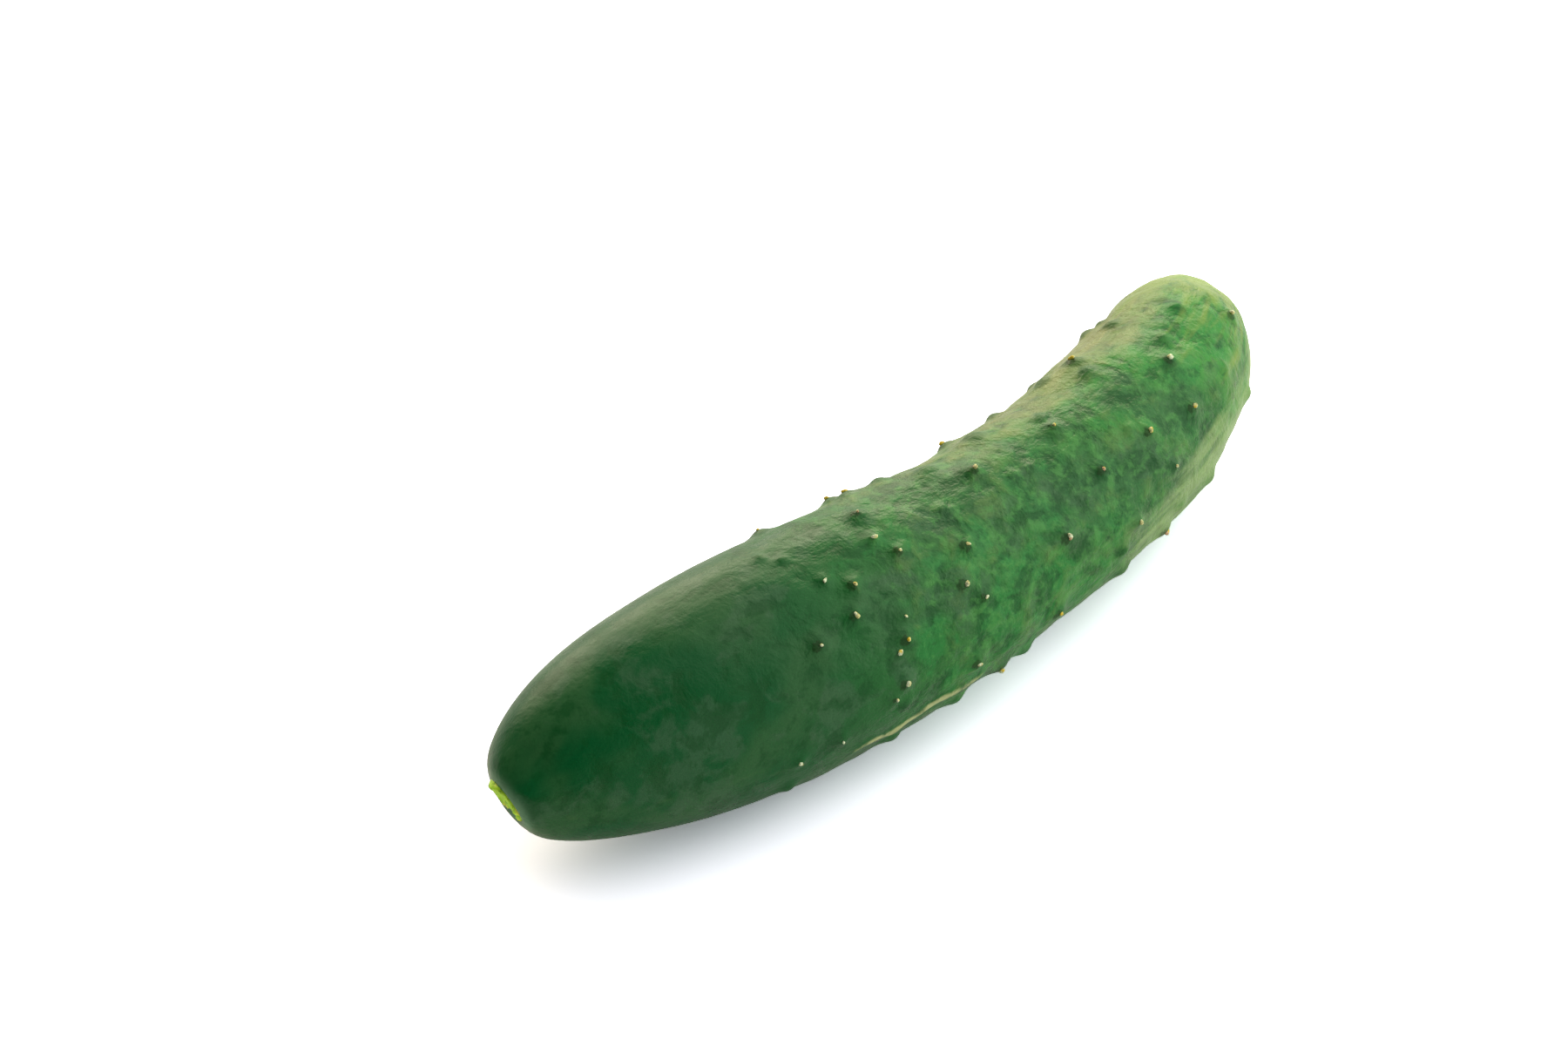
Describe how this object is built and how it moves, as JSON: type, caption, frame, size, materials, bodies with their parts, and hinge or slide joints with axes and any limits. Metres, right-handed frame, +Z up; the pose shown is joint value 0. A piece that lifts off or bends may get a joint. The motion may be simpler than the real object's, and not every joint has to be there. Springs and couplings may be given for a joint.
{
  "type": "cucumber",
  "caption": "Curved green slicing cucumber, a long warty fruit with a blunt stem end and a slimmer blossom end, lying on its side for slicing, display or a food scene.",
  "frame": {"origin": "on the resting surface, under the middle of the fruit's box as it lies", "axes": "+X from the stem end to the blossom end along the straight line between them, +Y towards the hollow side of the bend, +Z up"},
  "size_m": [0.215, 0.0608, 0.0471],
  "materials": {
    "cucumber_skin": "thin natural wax over fresh green skin, satin, with low warts"
  },
  "bodies": {
    "root": {"cucumber": "cucumber_skin"}
  },
  "joints": []
}
